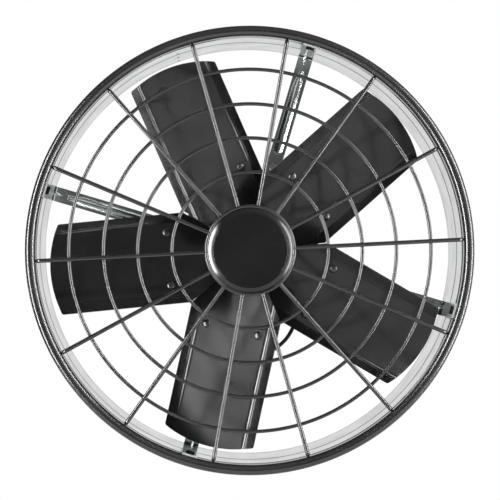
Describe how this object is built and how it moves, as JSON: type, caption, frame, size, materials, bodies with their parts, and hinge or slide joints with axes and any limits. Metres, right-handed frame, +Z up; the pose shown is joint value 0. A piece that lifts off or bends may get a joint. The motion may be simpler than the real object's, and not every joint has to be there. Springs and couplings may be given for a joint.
{
  "type": "industrial exhaust fan",
  "caption": "Round wall exhaust fan: wire guard, black rim, zinc sleeve, sheet-metal blades on a motor held by ribbed strip arms.",
  "frame": {"origin": "on the fan's axis, in the plane of the wall that the rim's back edge meets", "axes": "+Y along the fan's axis from the guard to the motor, the way the air goes; +Z up; +X to the right seen from the front"},
  "size_m": [0.4999, 0.1879, 0.5],
  "materials": {
    "gloss_black_paint": "gloss black",
    "blade_black_paint": "satin black",
    "zinc_sleeve": "bright galvanised sheet",
    "zinc_strip": "mottled zinc plate",
    "zinc_fastener": "dull zinc plate",
    "cast_cover": "die cast, matt",
    "motor_paint": "satin black",
    "core_steel": "laminated electrical steel",
    "winding_copper": "varnished copper wire",
    "bearing_steel": "ground",
    "black_plastic": "moulded, matt",
    "disc_plastic": "moulded, smooth",
    "grey_plastic": "moulded, matt",
    "lead_jacket": "matt jacket"
  },
  "bodies": {
    "frame": {"sleeve": "zinc_sleeve", "front_rim": "gloss_black_paint", "wire_guard": "gloss_black_paint", "guard_disc": "disc_plastic", "support_arm_1": "zinc_strip", "support_arm_2": "zinc_strip", "support_arm_3": "zinc_strip", "support_arm_4": "zinc_strip", "wall_bolts": "zinc_fastener", "wall_nuts": "zinc_fastener", "bracket_bolts": "zinc_fastener", "bracket_nuts": "zinc_fastener", "motor_bracket": "zinc_strip", "motor_front_cover": "cast_cover", "motor_shell": "motor_paint", "motor_rear_cover": "cast_cover", "stator_core": "core_steel", "stator_windings": "winding_copper", "front_bearing": "bearing_steel", "rear_bearing": "bearing_steel", "tie_bolts": "zinc_fastener", "tie_nuts": "zinc_fastener", "terminal_box": "black_plastic", "terminal_box_lid": "black_plastic", "lid_screws": "zinc_fastener", "box_screws": "zinc_fastener", "run_capacitor": "grey_plastic", "terminal_block": "grey_plastic", "motor_gland": "black_plastic", "box_gland": "black_plastic", "supply_gland": "black_plastic", "motor_lead": "lead_jacket"},
    "fan_wheel": {"motor_shaft": "bearing_steel", "rotor_core": "core_steel", "fan_hub": "blade_black_paint", "fan_blade_1": "blade_black_paint", "fan_blade_2": "blade_black_paint", "fan_blade_3": "blade_black_paint", "fan_blade_4": "blade_black_paint", "fan_blade_5": "blade_black_paint", "blade_rivets": "blade_black_paint", "hub_washer": "zinc_fastener", "hub_nut": "zinc_fastener"}
  },
  "joints": [
    {"name": "fan_spin", "type": "hinge", "parent": "frame", "child": "fan_wheel", "pos_m": [0, 0, 0], "axis": [0, -1, 0], "continuous": true}
  ]
}
